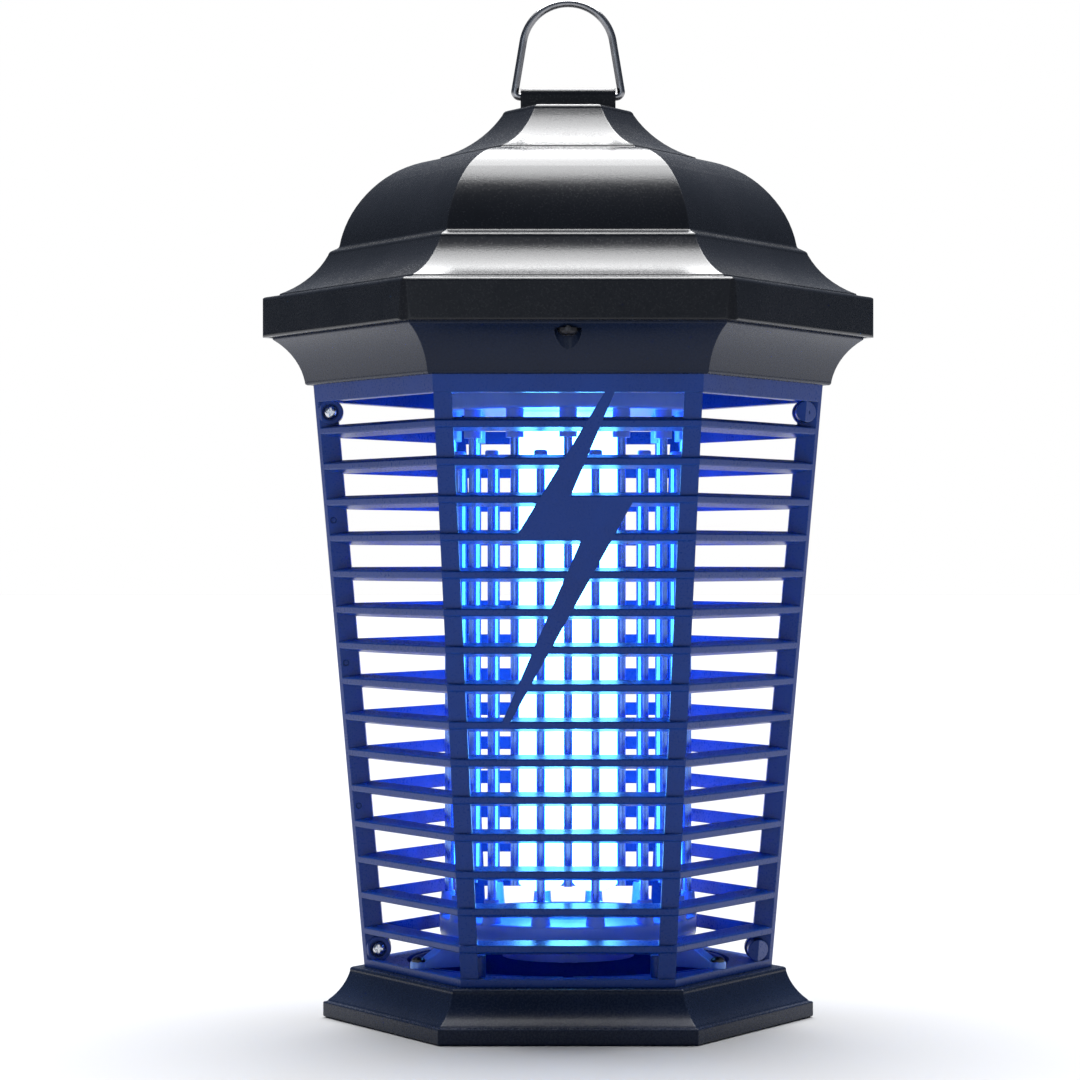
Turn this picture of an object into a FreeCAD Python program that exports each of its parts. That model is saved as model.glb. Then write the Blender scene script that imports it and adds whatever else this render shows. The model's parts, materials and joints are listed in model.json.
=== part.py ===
import FreeCAD, Part
import math
import os

from FreeCAD import Placement, Rotation, Vector

# Hexagonal lantern insect killer, in millimetres.
# Origin: centre of the foot's underside. +Z up, front face towards -Y, corners of the plan on +X and -X.
# A hexagonal section is given by its corner radius; its flat faces lie at COS30 times that radius.
# Outlines are runs of (radius, height) steps; profile_edges says how their arcs are written.

ORIGIN = Vector(0, 0, 0)
X_AXIS = Vector(1, 0, 0)
Y_AXIS = Vector(0, 1, 0)
Z_AXIS = Vector(0, 0, 1)
COS30 = math.cos(math.radians(30))
REACH = 150.0                      # longer than any section, for cutting shapes
OVER = 1.0                         # how far a cutter runs past a face, and a boss into a wall

# Heights of the main levels
BASE_TOP = 15.9
COLLAR_BOTTOM = 200.0
CEILING = 204.0                    # underside of the head's floor plate, and the top of the guard
HEAD_FLOOR = 206.5                 # top of that plate
HOOD_BOTTOM = 215.1
COLLAR_FLANGE = 217.4
BOARD_Z = 226.0
PLATEAU = 287.0
BAIL_TOP = 322.2

# Corner radii of the main sections
EAVE_R = 97.5
COLLAR_TOP_R = 93.6
COLLAR_LOW_R = 83.4
FOOT_R = 77.6
FOOT_TOP_R = 69.1
PLATEAU_R = 19.0

# Walls and ribs
WALL = 2.0
RIB_THICK = 1.6
GUARD_FIT = 0.35                   # gap between nested hexagons, across the corners

# Screws: head radius, head height, shank radius, length under the head
HOOD_SCREW = (3.0, 2.2, 1.5, 9.0)
HEAD_SCREW = (2.8, 2.0, 1.4, 7.5)
BOARD_SCREW = (2.6, 1.8, 1.05, 7.0)
LAMPHOLDER_SCREW = (2.4, 1.7, 1.15, 5.0)
ARM_SCREW = (2.0, 1.5, 1.05, 2.8)
GUARD_SCREW = (2.25, 1.7, 1.0, 7.5)
BASE_SCREW = (2.8, 2.0, 1.4, 8.5)
SCREW_POINT = 0.35                 # blunt end of the shank, as a share of its radius
HEAD_SKIRT = 0.45                  # upright part of a screw head, as a share of its height
HEAD_ROUND = (0.72, 0.88)          # middle of its rounding, as shares of radius and height
CROSS_WIDTH = 0.16                 # cross recess, as shares of the head's radius and height
CROSS_REACH = 0.58
CROSS_FLOOR = 0.4

# Screw places
SCREW_CORNERS = (60, 120, 240, 300)               # the guard's four corners that carry upright screws
HOOD_SCREW_ANGLES = (-90, 30, 150)
HOOD_SCREW_OUT = 78.3
GUARD_TOP_SCREW_OUT = 72.5
BASE_SCREW_OUT = 57.0
ARM_ANGLES = (90, 210, 330)                       # three posts and arms of the grid holders
HOLDER_SCREW_OUT = 29.0
ARM_SCREW_OUT = 53.4
LAMPHOLDER_SCREW_X = (-24.5, 24.5)
M3_CLEAR_R = 1.8
M3_PILOT_R = 1.45

# Hood
HOOD_WALL_R = 2.4                  # wall across the corners
EAVE_CORNER = 5.0                  # rounding of the eave's six corners
HOOD_PROFILE = (
    (96.9, HOOD_BOTTOM), ("arc", (97.3, 215.3), (EAVE_R, 215.8)),                    # lower edge
    (97.2, 226.3), ("arc", (96.7, 227.5), (95.4, 227.95)),                           # upright band
    (91.9, 228.45), ("arc", (91.5, 228.6), (91.3, 229.0)),                           # ledge
    ("arc", (82.1, 234.1), (76.0, 241.3)), ("arc", (75.6, 242.1), (74.8, 242.6)),    # lower flare
    (73.0, 243.4), ("arc", (72.6, 243.8), (72.4, 244.4)),                            # step
    ("arc", (68.2, 255.0), (60.3, 263.9)), ("on", (41.2, 271.5)),                    # dome
    ("arc", (40.7, 271.7), (40.4, 272.2)),                                           # groove
    ("arc", (29.7, 277.0), (20.8, 285.6)), ("arc", (20.1, 286.6), (PLATEAU_R, PLATEAU)),
)
HOOD_BOSS_R = 3.6
HOOD_BOSS_TOP = 230.0
HOOD_RIB = 5.0                     # reach of the rib that ties a boss to the wall
HOOD_PILOT_R = 1.55
HOOD_PILOT_TOP = 226.0
BRACKET_SIZE = (30.0, 7.0)
BRACKET_TOP = 294.0
BRACKET_ROUND = 2.4

# Collar
COLLAR_PROFILE = (
    (82.5, COLLAR_BOTTOM), ("arc", (83.15, 200.3), (COLLAR_LOW_R, 201.0)),           # lower edge
    ("arc", (86.7, 208.4), (93.3, 214.3)), ("arc", (93.55, 214.5), (COLLAR_TOP_R, 214.8)),
    (COLLAR_TOP_R, 215.6), (94.7, 215.6), (94.7, COLLAR_FLANGE),                     # spigot in the hood
)
COLLAR_HOLLOW = ((82.4, HEAD_FLOOR), ("arc", (84.9, 211.0), (91.2, 216.0)), (91.2, COLLAR_FLANGE + OVER))
LAMP_WINDOW = (40.0, 24.0)
RECESS_R = 4.0
RECESS_TOP = 213.2
RECESS_BOSS_R = 5.8
BOARD_POST_R = 3.2
BOARD_PILOT_R = 1.1
BOARD_PILOT_DEPTH = 9.0
LAMPHOLDER_PILOT_R = 1.2
HOLDER_SCREW_CLEAR_R = 1.6
FEED_CLEAR = 0.2                   # gap round the feed rod's sleeve

# Cord inlet and grommet, along +Y at the back of the collar
INLET_Z = 210.5
INLET_R = 4.5
CORD_R = 3.3
INLET_BLOCK_X = 9.0
INLET_BLOCK_Y = (68.0, 80.0)
INLET_BLOCK_TOP = 216.0
GROMMET_Y = (67.0, 81.8)
GROMMET_LIP_R = 5.2
GROMMET_LIP_TOP = 214.4
GROMMET_LIP = 1.0
GROMMET_FLANGE_R = 6.2
GROMMET_FLANGE_TOP = 213.4

# Hanging bail
BAIL_WIRE_R = 1.2
BAIL_BORE_R = 1.25
BAIL_PIVOT_Z = 291.4
BAIL_LEAN = 9.4
BAIL_BEND_R = 1.6
BAIL_ARC_R = 14.4
BAIL_END_X = 8.0

# Electronics
BOARD_THICK = 1.6
BOARD_SIZE = (92.0, 66.0)
BOARD_CORNER = 4.0
BOARD_HOLE_R = 1.6
BOARD_POSTS = ((38.0, 26.0), (-38.0, 26.0), (-38.0, -26.0), (38.0, -26.0))
BOARD_TOP = BOARD_Z + BOARD_THICK
CORE_SIZE = (32.0, 10.0)
CORE_HEIGHT = 24.0
CORE_BAR = 5.0                     # width of the core's yokes
CORE_WINDOW = 6.0
CORE_WINDOW_X = 7.0
COIL_SIZE = (19.6, 22.0)
COIL_HOLE = (8.2, 10.2)
COIL_CORNER = 3.0
COIL_GAP = 0.2
FILM_SIZE = (13.0, 6.0)
FILM_HEIGHT = 11.0
FILM_CORNER = 1.0
FILM_PLACES = ((-30.0, 8.0), (-30.0, -8.0), (28.0, -20.0), (28.0, -8.0))
CAN_R = 8.0
CAN_HEIGHT = 20.0
CAN_ROUND = 1.0
CAN_PLACE = Vector(27.0, 12.0, 0)
DIODE_R = 1.4
DIODE_LENGTH = 5.0
DIODE_Y = 22.0
DIODE_X = (-24.0, -14.0, -4.0, 6.0)
TERMINAL_SIZE = (24.0, 10.0)
TERMINAL_HEIGHT = 9.0
TERMINAL_Y = -27.0
TERMINAL_X = (-8.0, 0.0, 8.0)
TERMINAL_SCREW_R = 2.2
TERMINAL_SCREW_DEPTH = 4.0
TERMINAL_MOUTH = 4.0
TERMINAL_MOUTH_Z = (1.5, 4.5)
TERMINAL_MOUTH_END = -28.0

# Lamp
LAMP_LEG_R = 8.0
LAMP_LEG_X = 8.6
LAMP_GLASS = 1.0
LAMP_LOW = 40.0
LAMP_GLASS_TOP = 200.0
LAMP_END_ROUND = 0.7               # rounding of the closed ends, as a share of the leg's radius
LAMP_BRIDGE_R = 0.55               # radius of the bridge between the legs, as the same share
LAMP_BRIDGE_UP = 12.0
LAMP_CAP_LOW = 193.6
LAMP_CAP_TOP = 207.0
LAMP_CAP_SIZE = (36.0, 20.0)
LAMP_CAP_CORNER = 6.0
LAMP_CAP_FIT = 0.1
LAMP_KEY_SIZE = (14.0, 9.0)
LAMP_KEY_CORNER = 1.5
LAMP_KEY_TOP = 218.0
LAMP_PIN_R = 1.2
LAMP_PIN_TOP = 214.0
LAMP_PIN_ROOT = 4.0
LAMP_PIN_X = (-14.0, -10.0, 10.0, 14.0)
LAMPHOLDER_SIZE = (42.0, 25.0)
LAMPHOLDER_CORNER = 4.0
LAMPHOLDER_TOP = 222.0
EAR_SIZE = (57.0, 10.0)
EAR_CORNER = 2.5
EAR_THICK = 3.0
EAR_HOLE_R = 1.7
SOCKET_GAP = 0.4
PIN_HOLE_R = 1.4

# Grid
GRID_R = 37.7
ROD_R = 1.35
ROD_GAP = 0.02                     # gap between a rod and the hole that holds it
ROD_HOLE_R = ROD_R + ROD_GAP
ROD_PAIRS = 14
ROD_STEP = 360.0 / ROD_PAIRS
FEED_ANGLE = 90.0 - ROD_STEP / 2
UPPER_ROD_LOW = 44.7
UPPER_ROD_TOP = 197.0
LOWER_ROD_LOW = 26.4
LOWER_ROD_TOP = 178.0
FEED_TOP = 209.5
ROD_CAP_SEAT = 0.7                 # height of the rod's end inside its cap
ROD_CAP_PROFILE = ((0, ROD_CAP_SEAT), (ROD_HOLE_R, ROD_CAP_SEAT), (ROD_HOLE_R, -1.3), (2.1, -1.3),
                   (2.1, 0.4), ("arc", (1.9, 1.0), (1.3, 1.2)), (0, 1.2))
RING_WIDTH = 4.0
RING_THICK = 1.2
UPPER_RING_R = 39.8
UPPER_RING_LOW = 194.6
LOWER_RING_R = 38.6
LOWER_RING_LOW = 27.2
RING_FEED_GAP = 0.5                # air gap round the feed rod's sleeve

# Grid holders
SLEEVE_R = 2.75
SLEEVE_LOW = 182.4
HOLDER_WALL = 1.6
HOLDER_POST_R = 3.6
HOLDER_PILOT_DEPTH = 9.2
UPPER_HOLDER_R = 41.4
UPPER_HOLDER_LOW = 191.3
UPPER_HOLDER_PLATE = 193.3
UPPER_HOLDER_WALL = 1.4
LAMP_GAP = 1.2                     # gap between the lamp's cap and the holder's window
LOWER_HOLDER_R = 40.6
LOWER_HOLDER_LOW = 25.0
LOWER_HOLDER_TOP = 32.6
LOWER_HOLDER_IN = LOWER_HOLDER_R - HOLDER_WALL
POST_TOP = 40.0
POST_LOW_R = 3.05
POST_TOP_R = 2.35
HUB_R = 20.8
HUB_LOW = 19.5
LOWER_HOLDER_PROFILE = (
    (HUB_R - WALL, LOWER_HOLDER_TOP), (HUB_R - WALL, HUB_LOW), (HUB_R, HUB_LOW), (HUB_R, 30.4),   # hub
    (LOWER_HOLDER_IN, 30.4), (LOWER_HOLDER_IN, 27.6),                                       # under the dish
    ("arc", (LOWER_HOLDER_IN - 0.3, 26.7), (LOWER_HOLDER_IN - 1.1, 26.3)),
    (LOWER_HOLDER_IN - 1.1, LOWER_HOLDER_LOW),
    ("arc", (LOWER_HOLDER_R - 0.75, 25.95), (LOWER_HOLDER_R, 28.0)), (LOWER_HOLDER_R, 31.8),    # rim
    ("arc", (LOWER_HOLDER_R - 0.25, 32.35), (LOWER_HOLDER_R - 0.8, LOWER_HOLDER_TOP)),
)
CLIP_X = 2.1
CLIP_WIDTH = 1.8
CLIP_Y = (-HUB_R - 0.7, -HUB_R + 0.6)
CLIP_HEIGHT = 3.4
ARM_WIDTH = 5.2
ARM_FOOT = 2.0
ARM_HIGH = LOWER_HOLDER_LOW + 3.0
ARM_FOOT_R = 2.6
ARM_PILOT_R = 1.1
ARM_PILOT_FLOOR = 0.4              # plate left under the arm screws' pilot holes
ARM_HOLE_R = 1.2
ARM_HEAD_R = 2.2

# Guard: a tapered hexagonal cage of wedge-shaped slats, in a front and a rear half
GUARD_R = 80.7                     # corner radius at the collar
GUARD_TAPER = 0.0879               # loss of corner radius per millimetre of height
SLAT_COUNT = 15
SLAT_FIRST = 27.5
SLAT_PITCH = 11.28
SLAT_OUTER = 2.2
SLAT_INNER = 4.3
SLAT_DEPTH = 6.0
SLAT_CHAMFER = 0.3
TOP_RING_LOW = 194.7
TOP_RING_DEPTH = 4.0
FLOOR_PLATE = 2.5
FLOOR_OPENING_R = 51.0
POST_WIDTH = 5.4
POST_SETBACK = 1.1
POST_DEPTH = 5.0
UPRIGHT_BOSS_R = 3.6
UPRIGHT_BOSS_TOP = 25.0
UPRIGHT_PILOT_TOP = 23.5
TOP_PILOT_DEPTH = 7.0
FLANGE_WIDTH = 7.0
FLANGE_THICK = 2.0
FLANGE_SCREWS = ((4.9, 191.4), (5.2, 21.8))       # distance in from the corner, height
FLANGE_PEGS = (67.0, 112.2, 157.3)                # heights of the locating pegs
PEG_INSET = 2.8
PEG_R = 0.85
PEG_LENGTH = 1.6
PEG_HOLE_R = 0.95
SCREW_BOSS_R = 3.9                 # boss that a screw head sinks into
SCREW_BOSS_DEPTH = 3.4
SCREW_SINK_R = 2.7
PLAIN_BOSS_R = 3.3                 # boss that takes the screw's thread
PLAIN_BOSS_DEPTH = 9.0
PLAIN_PILOT_R = 1.05
PLAIN_PILOT_DEPTH = 7.0
BOLT_THICK = 2.5
BOLT_OUTLINE = ((11.3, 195.3), (-15.5, 151.7), (3.85, 150.5), (-20.1, 95.4),
                (-17.7, 95.4), (19.6, 162.5), (0.7, 163.6), (14.1, 195.3))

# Foot
BASE_PROFILE = (
    (77.0, 0), ("arc", (77.4, 0.2), (FOOT_R, 0.7)), (FOOT_R, 4.3), ("arc", (77.45, 4.75), (77.0, 4.9)),
    (76.4, 5.0), ("arc", (76.1, 5.2), (75.9, 5.5)),                                  # step above the rim
    ("arc", (71.5, 9.8), (FOOT_TOP_R, 14.6)), ("arc", (68.9, 15.5), (68.2, BASE_TOP)),
)
BASE_HOLLOW = ((74.6, -OVER), (74.6, 2.5), ("arc", (69.6, 7.6), (66.6, BASE_TOP - 2.5)))
BASE_BOSS_R = 4.6
BASE_BOSS_LOW = 6.0
BASE_SEAT = BASE_TOP - 2.5
BASE_SINK_R = 3.2
BASE_RIB_LOW = 3.4
BASE_RIB_END = 72.0
SLEEVE_WALL_R = 50.6

# Tray
TRAY_R = 49.8
TRAY_LOW = 1.0
TRAY_TOP = 18.4
TRAY_WALL = 1.6
TRAY_FLOOR = TRAY_LOW + TRAY_WALL
TRAY_IN = TRAY_R - TRAY_WALL
TRAY_LIP_R = 54.0
TRAY_LIP_TOP = 3.0
TRAY_PROFILE = (
    (0, TRAY_LOW), (TRAY_LIP_R - 0.6, TRAY_LOW),
    ("arc", (TRAY_LIP_R - 0.2, 1.2), (TRAY_LIP_R, 1.6)), (TRAY_LIP_R, TRAY_LIP_TOP),
    (TRAY_R, TRAY_LIP_TOP), (TRAY_R, TRAY_TOP - 0.5),
    ("arc", (TRAY_R - 0.15, TRAY_TOP - 0.15), (TRAY_R - 0.5, TRAY_TOP)),
    (TRAY_IN + 0.4, TRAY_TOP), ("arc", (TRAY_IN + 0.1, TRAY_TOP - 0.1), (TRAY_IN, TRAY_TOP - 0.4)),
    (TRAY_IN, TRAY_FLOOR + 3.0), ("arc", (TRAY_IN - 0.9, TRAY_FLOOR + 0.9), (TRAY_IN - 3.0, TRAY_FLOOR)),
    (0, TRAY_FLOOR),
)
TRAY_RIBS = 6
TRAY_RIB_THICK = 1.2
TRAY_RIB_GAP = 0.15
TRAY_RIB_Z = (5.0, 13.0)
NOTCH_WIDTH = 3.2
NOTCH_DEPTH = 2.4
GRIP_R = 9.0
GRIP_OUT = TRAY_LIP_R + 6.5


# ---------------------------------------------------------------- general helpers

def polar(radius, degrees, z=0.0):
    angle = math.radians(degrees)
    return Vector(radius * math.cos(angle), radius * math.sin(angle), z)


def box(x, y, z):
    """Box between the two values of each of x, y and z."""
    return Part.makeBox(x[1] - x[0], y[1] - y[0], z[1] - z[0], Vector(x[0], y[0], z[0]))


def block(size, low, high, at=ORIGIN):
    """Box centred on a point in plan, from height low to high."""
    width, depth = size
    return box((at.x - width / 2, at.x + width / 2), (at.y - depth / 2, at.y + depth / 2), (low, high))


def rod(radius, low, high, at=ORIGIN):
    """Upright cylinder from height low to high."""
    return Part.makeCylinder(radius, high - low, Vector(at.x, at.y, low))


def pin(radius, start, end):
    """Cylinder from one point to another."""
    return Part.makeCylinder(radius, (end - start).Length, start, end - start)


def tube(outer, inner, low, high):
    return rod(outer, low, high).cut(rod(inner, low, high))


def joined(shapes):
    """One clean solid out of touching shapes."""
    return shapes[0].multiFuse(shapes[1:]).removeSplitter()


def without(shape, cutters):
    for cutter in cutters:
        shape = shape.cut(cutter)
    return shape


def rounded(shape, radius):
    """The shape with its straight upright edges rounded."""
    edges = [edge for edge in shape.Edges
             if edge.Curve.TypeId == "Part::GeomLine"
             and abs(edge.tangentAt(edge.FirstParameter).dot(Z_AXIS)) > 0.999]
    return shape.makeFillet(radius, edges)


def tangent_arc(start, heading, end):
    """Arc from start to end that leaves start along heading."""
    chord = end - start
    turn = math.atan2(chord.cross(heading).x, chord.dot(heading))
    side = X_AXIS.cross(chord) * 0.5 * math.tan(turn / 2)
    return Part.Arc(start, start + chord * 0.5 + side, end).toShape()


def profile_edges(steps, scale=1.0, shift=(0.0, 0.0)):
    """Edges through (radius, height) steps, drawn in the YZ plane.

    A plain point ends a line, ("arc", middle, end) is an arc through three points, and
    ("on", end) is an arc that continues the edge before it smoothly.
    """
    def place(point):
        return Vector(0, (point[0] + shift[0]) * scale, point[1] + shift[1])

    edges = []
    here = place(steps[0])
    for step in steps[1:]:
        end = place(step[-1] if isinstance(step[0], str) else step)
        if step[0] == "arc":
            edge = Part.Arc(here, place(step[1]), end).toShape()
        elif step[0] == "on":
            last = edges[-1]
            edge = tangent_arc(here, last.tangentAt(last.LastParameter), end)
        else:
            edge = Part.LineSegment(here, end).toShape()
        edges.append(edge)
        here = end
    return edges


def hex_solid(steps, shift=(0.0, 0.0)):
    """Solid of hexagonal plan; the profile gives corner radius against height, from the bottom up."""
    right = profile_edges(steps, COS30, shift)
    left = [edge.mirror(ORIGIN, Y_AXIS) for edge in right]
    low = right[0].firstVertex().Point
    high = right[-1].lastVertex().Point
    closing = [Part.LineSegment(Vector(0, p.y, p.z), Vector(0, -p.y, p.z)).toShape() for p in (low, high)]
    face = Part.Face(Part.Wire(Part.__sortEdges__(right + left + closing)))
    slab = face.extrude(Vector(2 * REACH, 0, 0)).translated(Vector(-REACH, 0, 0))
    solid = slab.common(slab.rotated(ORIGIN, Z_AXIS, 60)).common(slab.rotated(ORIGIN, Z_AXIS, 120))
    return solid.Solids[0]


def hex_prism(radius, low, high):
    return hex_solid([(radius, low), (radius, high)])


def turned(steps):
    """Solid of revolution about Z; the steps run round the closed section."""
    edges = profile_edges(list(steps) + [steps[0]])
    return Part.Face(Part.Wire(edges)).revolve(ORIGIN, Z_AXIS, 360)


def aimed(shape, position, direction):
    """Copy of a shape drawn at the origin along +Z, moved to position and turned to direction."""
    copy = shape.copy()
    copy.Placement = Placement(position, Rotation(Z_AXIS, direction))
    return copy


def screw(head_r, head_h, shank_r, length):
    """Cross-recess pan-head screw: seat at the origin, head up, shank down."""
    head = turned([(0, 0), (head_r, 0), (head_r, head_h * HEAD_SKIRT),
                   ("arc", (head_r * HEAD_ROUND[0], head_h * HEAD_ROUND[1]), (0, head_h))])
    shank = rod(shank_r, -length, 0)
    point = Part.makeCone(shank_r * SCREW_POINT, shank_r, shank_r, Vector(0, 0, -length - shank_r))
    slot = head_r * CROSS_WIDTH
    arm = head_r * CROSS_REACH
    depth = (head_h * CROSS_FLOOR, head_h * 2)
    cross = box((-arm, arm), (-slot, slot), depth).fuse(box((-slot, slot), (-arm, arm), depth))
    return joined([head, shank.fuse(point)]).cut(cross)


def guard_radius(z):
    return GUARD_R - GUARD_TAPER * (COLLAR_BOTTOM - z)


NODES = {}


def keep(name, *solids):
    """Store the solids of one node."""
    NODES[name] = solids[0] if len(solids) == 1 else Part.makeCompound(solids)


def keep_screws(name, size, places, direction):
    """Store one node of equal screws that all point the same way."""
    pattern = screw(*size)
    keep(name, *[aimed(pattern, place, direction) for place in places])


# ---------------------------------------------------------------- head

def make_hood():
    blank = rounded(hex_prism(EAVE_R, HOOD_BOTTOM - OVER, PLATEAU + OVER), EAVE_CORNER)
    outside = hex_solid(HOOD_PROFILE).common(blank)
    inside = hex_solid(HOOD_PROFILE, (-HOOD_WALL_R, -WALL))
    parts = [outside.cut(inside)]

    bracket = block(BRACKET_SIZE, PLATEAU - OVER, BRACKET_TOP)
    top_edges = [edge for edge in bracket.Edges
                 if edge.BoundBox.ZMin > BRACKET_TOP - 0.1 and abs(edge.CenterOfMass.y) > 1]
    parts.append(bracket.makeFillet(BRACKET_ROUND, top_edges))

    half = RIB_THICK / 2
    for angle in HOOD_SCREW_ANGLES:
        spot = polar(HOOD_SCREW_OUT, angle)
        rib = box((HOOD_SCREW_OUT, HOOD_SCREW_OUT + HOOD_RIB), (-half, half),
                  (COLLAR_FLANGE + OVER, HOOD_BOSS_TOP - OVER)).rotated(ORIGIN, Z_AXIS, angle)
        boss = rod(HOOD_BOSS_R, COLLAR_FLANGE, HOOD_BOSS_TOP, spot).fuse(rib).common(outside)
        parts.append(boss.cut(rod(HOOD_PILOT_R, COLLAR_FLANGE - OVER, HOOD_PILOT_TOP, spot)))

    bore_end = Vector(BRACKET_SIZE[0], 0, BAIL_PIVOT_Z)
    bore = pin(BAIL_BORE_R, Vector(-bore_end.x, 0, BAIL_PIVOT_Z), bore_end)
    keep("hood", joined(parts).cut(bore))


def make_collar():
    outside = hex_solid(COLLAR_PROFILE)
    guard_seat = hex_prism(guard_radius(CEILING) + GUARD_FIT, COLLAR_BOTTOM - OVER, CEILING)
    parts = [outside.cut(guard_seat).cut(hex_solid(COLLAR_HOLLOW))]
    through = (CEILING - OVER, HEAD_FLOOR + OVER)
    removed = [block(LAMP_WINDOW, *through)]

    for angle in HOOD_SCREW_ANGLES:
        spot = polar(HOOD_SCREW_OUT, angle)
        parts.append(rod(RECESS_BOSS_R, HEAD_FLOOR - OVER, COLLAR_FLANGE, spot).common(outside))
        removed.append(rod(RECESS_R, COLLAR_BOTTOM - OVER, RECESS_TOP, spot))
        removed.append(rod(M3_CLEAR_R, RECESS_TOP - OVER, COLLAR_FLANGE + OVER, spot))

    parts.append(box((-INLET_BLOCK_X, INLET_BLOCK_X), INLET_BLOCK_Y, (HEAD_FLOOR - OVER, INLET_BLOCK_TOP)))
    inlet_start, inlet_end = (Vector(0, y, INLET_Z) for y in (GROMMET_Y[0] - OVER, GROMMET_Y[1] + OVER))
    removed.append(pin(INLET_R, inlet_start, inlet_end))
    for x, y in BOARD_POSTS:
        spot = Vector(x, y, 0)
        parts.append(rod(BOARD_POST_R, HEAD_FLOOR - OVER, BOARD_Z, spot))
        removed.append(rod(BOARD_PILOT_R, BOARD_Z - BOARD_PILOT_DEPTH, BOARD_Z + OVER, spot))

    for angle in ARM_ANGLES:
        removed.append(rod(HOLDER_SCREW_CLEAR_R, *through, polar(HOLDER_SCREW_OUT, angle)))
    for angle in SCREW_CORNERS:
        removed.append(rod(M3_CLEAR_R, *through, polar(GUARD_TOP_SCREW_OUT, angle)))
    for x in LAMPHOLDER_SCREW_X:
        removed.append(rod(LAMPHOLDER_PILOT_R, *through, Vector(x, 0, 0)))
    removed.append(rod(SLEEVE_R + FEED_CLEAR, *through, polar(GRID_R, FEED_ANGLE)))
    keep("collar", without(joined(parts), removed))


def make_head_screws():
    keep_screws("hood_screws", HOOD_SCREW,
                [polar(HOOD_SCREW_OUT, angle, RECESS_TOP) for angle in HOOD_SCREW_ANGLES], -Z_AXIS)
    keep_screws("guard_top_screws", HEAD_SCREW,
                [polar(GUARD_TOP_SCREW_OUT, angle, HEAD_FLOOR) for angle in SCREW_CORNERS], Z_AXIS)
    keep_screws("upper_holder_screws", HEAD_SCREW,
                [polar(HOLDER_SCREW_OUT, angle, HEAD_FLOOR) for angle in ARM_ANGLES], Z_AXIS)


def make_grommet():
    """Flanged rubber bush; flats on its inner lip and outer flange clear the floor and the hood."""
    inner_y, outer_y = GROMMET_Y
    face_y = INLET_BLOCK_Y[1]

    def disc(radius, start, end):
        return pin(radius, Vector(0, start, INLET_Z), Vector(0, end, INLET_Z))

    def between(shape, low, high):
        return shape.common(box((-REACH, REACH), (0, REACH), (low, high)))

    lip = between(disc(GROMMET_LIP_R, inner_y, inner_y + GROMMET_LIP), HEAD_FLOOR, GROMMET_LIP_TOP)
    flange = between(disc(GROMMET_FLANGE_R, face_y, outer_y), HEAD_FLOOR - OVER, GROMMET_FLANGE_TOP)
    body = disc(INLET_R, inner_y, face_y + OVER / 2)
    keep("cord_grommet", joined([body, flange, lip]).cut(disc(CORD_R, inner_y - OVER, outer_y + OVER)))


def make_bail():
    lean = math.radians(BAIL_LEAN)
    up = Vector(-math.sin(lean), 0, math.cos(lean))
    out = Vector(math.cos(lean), 0, math.sin(lean))
    centre_z = BAIL_TOP - BAIL_WIRE_R - BAIL_ARC_R
    crown = Vector(0, 0, centre_z) + out * BAIL_ARC_R
    corner = Vector(crown.x + (crown.z - BAIL_PIVOT_Z) * math.tan(lean), 0, BAIL_PIVOT_Z)
    half_turn = math.radians((90 + BAIL_LEAN) / 2)
    trim = BAIL_BEND_R * math.tan(half_turn)
    bend_in = corner - X_AXIS * trim
    bend_out = corner + up * trim
    bisector = (up - X_AXIS).normalize()
    middle = corner + bisector * (BAIL_BEND_R / math.cos(half_turn) - BAIL_BEND_R)
    start = Vector(BAIL_END_X, 0, BAIL_PIVOT_Z)

    def leg(side):
        """Pivot end, bend and leaning leg of one side."""
        def at(point):
            return Vector(side * point.x, 0, point.z)
        return [Part.LineSegment(at(start), at(bend_in)).toShape(),
                Part.Arc(at(bend_in), at(middle), at(bend_out)).toShape(),
                Part.LineSegment(at(bend_out), at(crown)).toShape()]

    arch = Part.Arc(crown, Vector(0, 0, centre_z + BAIL_ARC_R), Vector(-crown.x, 0, crown.z)).toShape()
    path = Part.Wire(Part.__sortEdges__(leg(1) + [arch] + leg(-1)))
    section = Part.Wire(Part.Circle(start, X_AXIS, BAIL_WIRE_R).toShape())
    keep("bail", path.makePipeShell([section], True, False))


# ---------------------------------------------------------------- electronics

def make_board():
    board = rounded(block(BOARD_SIZE, BOARD_Z, BOARD_TOP), BOARD_CORNER)
    holes = [rod(BOARD_HOLE_R, BOARD_Z - OVER, BOARD_TOP + OVER, Vector(x, y, 0)) for x, y in BOARD_POSTS]
    keep("circuit_board", without(board, holes))
    keep_screws("board_screws", BOARD_SCREW, [Vector(x, y, BOARD_TOP) for x, y in BOARD_POSTS], Z_AXIS)


def make_transformer():
    top = BOARD_TOP + CORE_HEIGHT
    low_window = BOARD_TOP + CORE_BAR
    high_window = top - CORE_BAR
    windows = [block((CORE_WINDOW, CORE_SIZE[1] + OVER), low_window, high_window, Vector(x, 0, 0))
               for x in (-CORE_WINDOW_X, CORE_WINDOW_X)]
    keep("transformer_core", without(block(CORE_SIZE, BOARD_TOP, top), windows))
    coil = rounded(block(COIL_SIZE, low_window + COIL_GAP, high_window - COIL_GAP), COIL_CORNER)
    keep("transformer_coil", coil.cut(block(COIL_HOLE, BOARD_TOP, top)))


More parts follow.
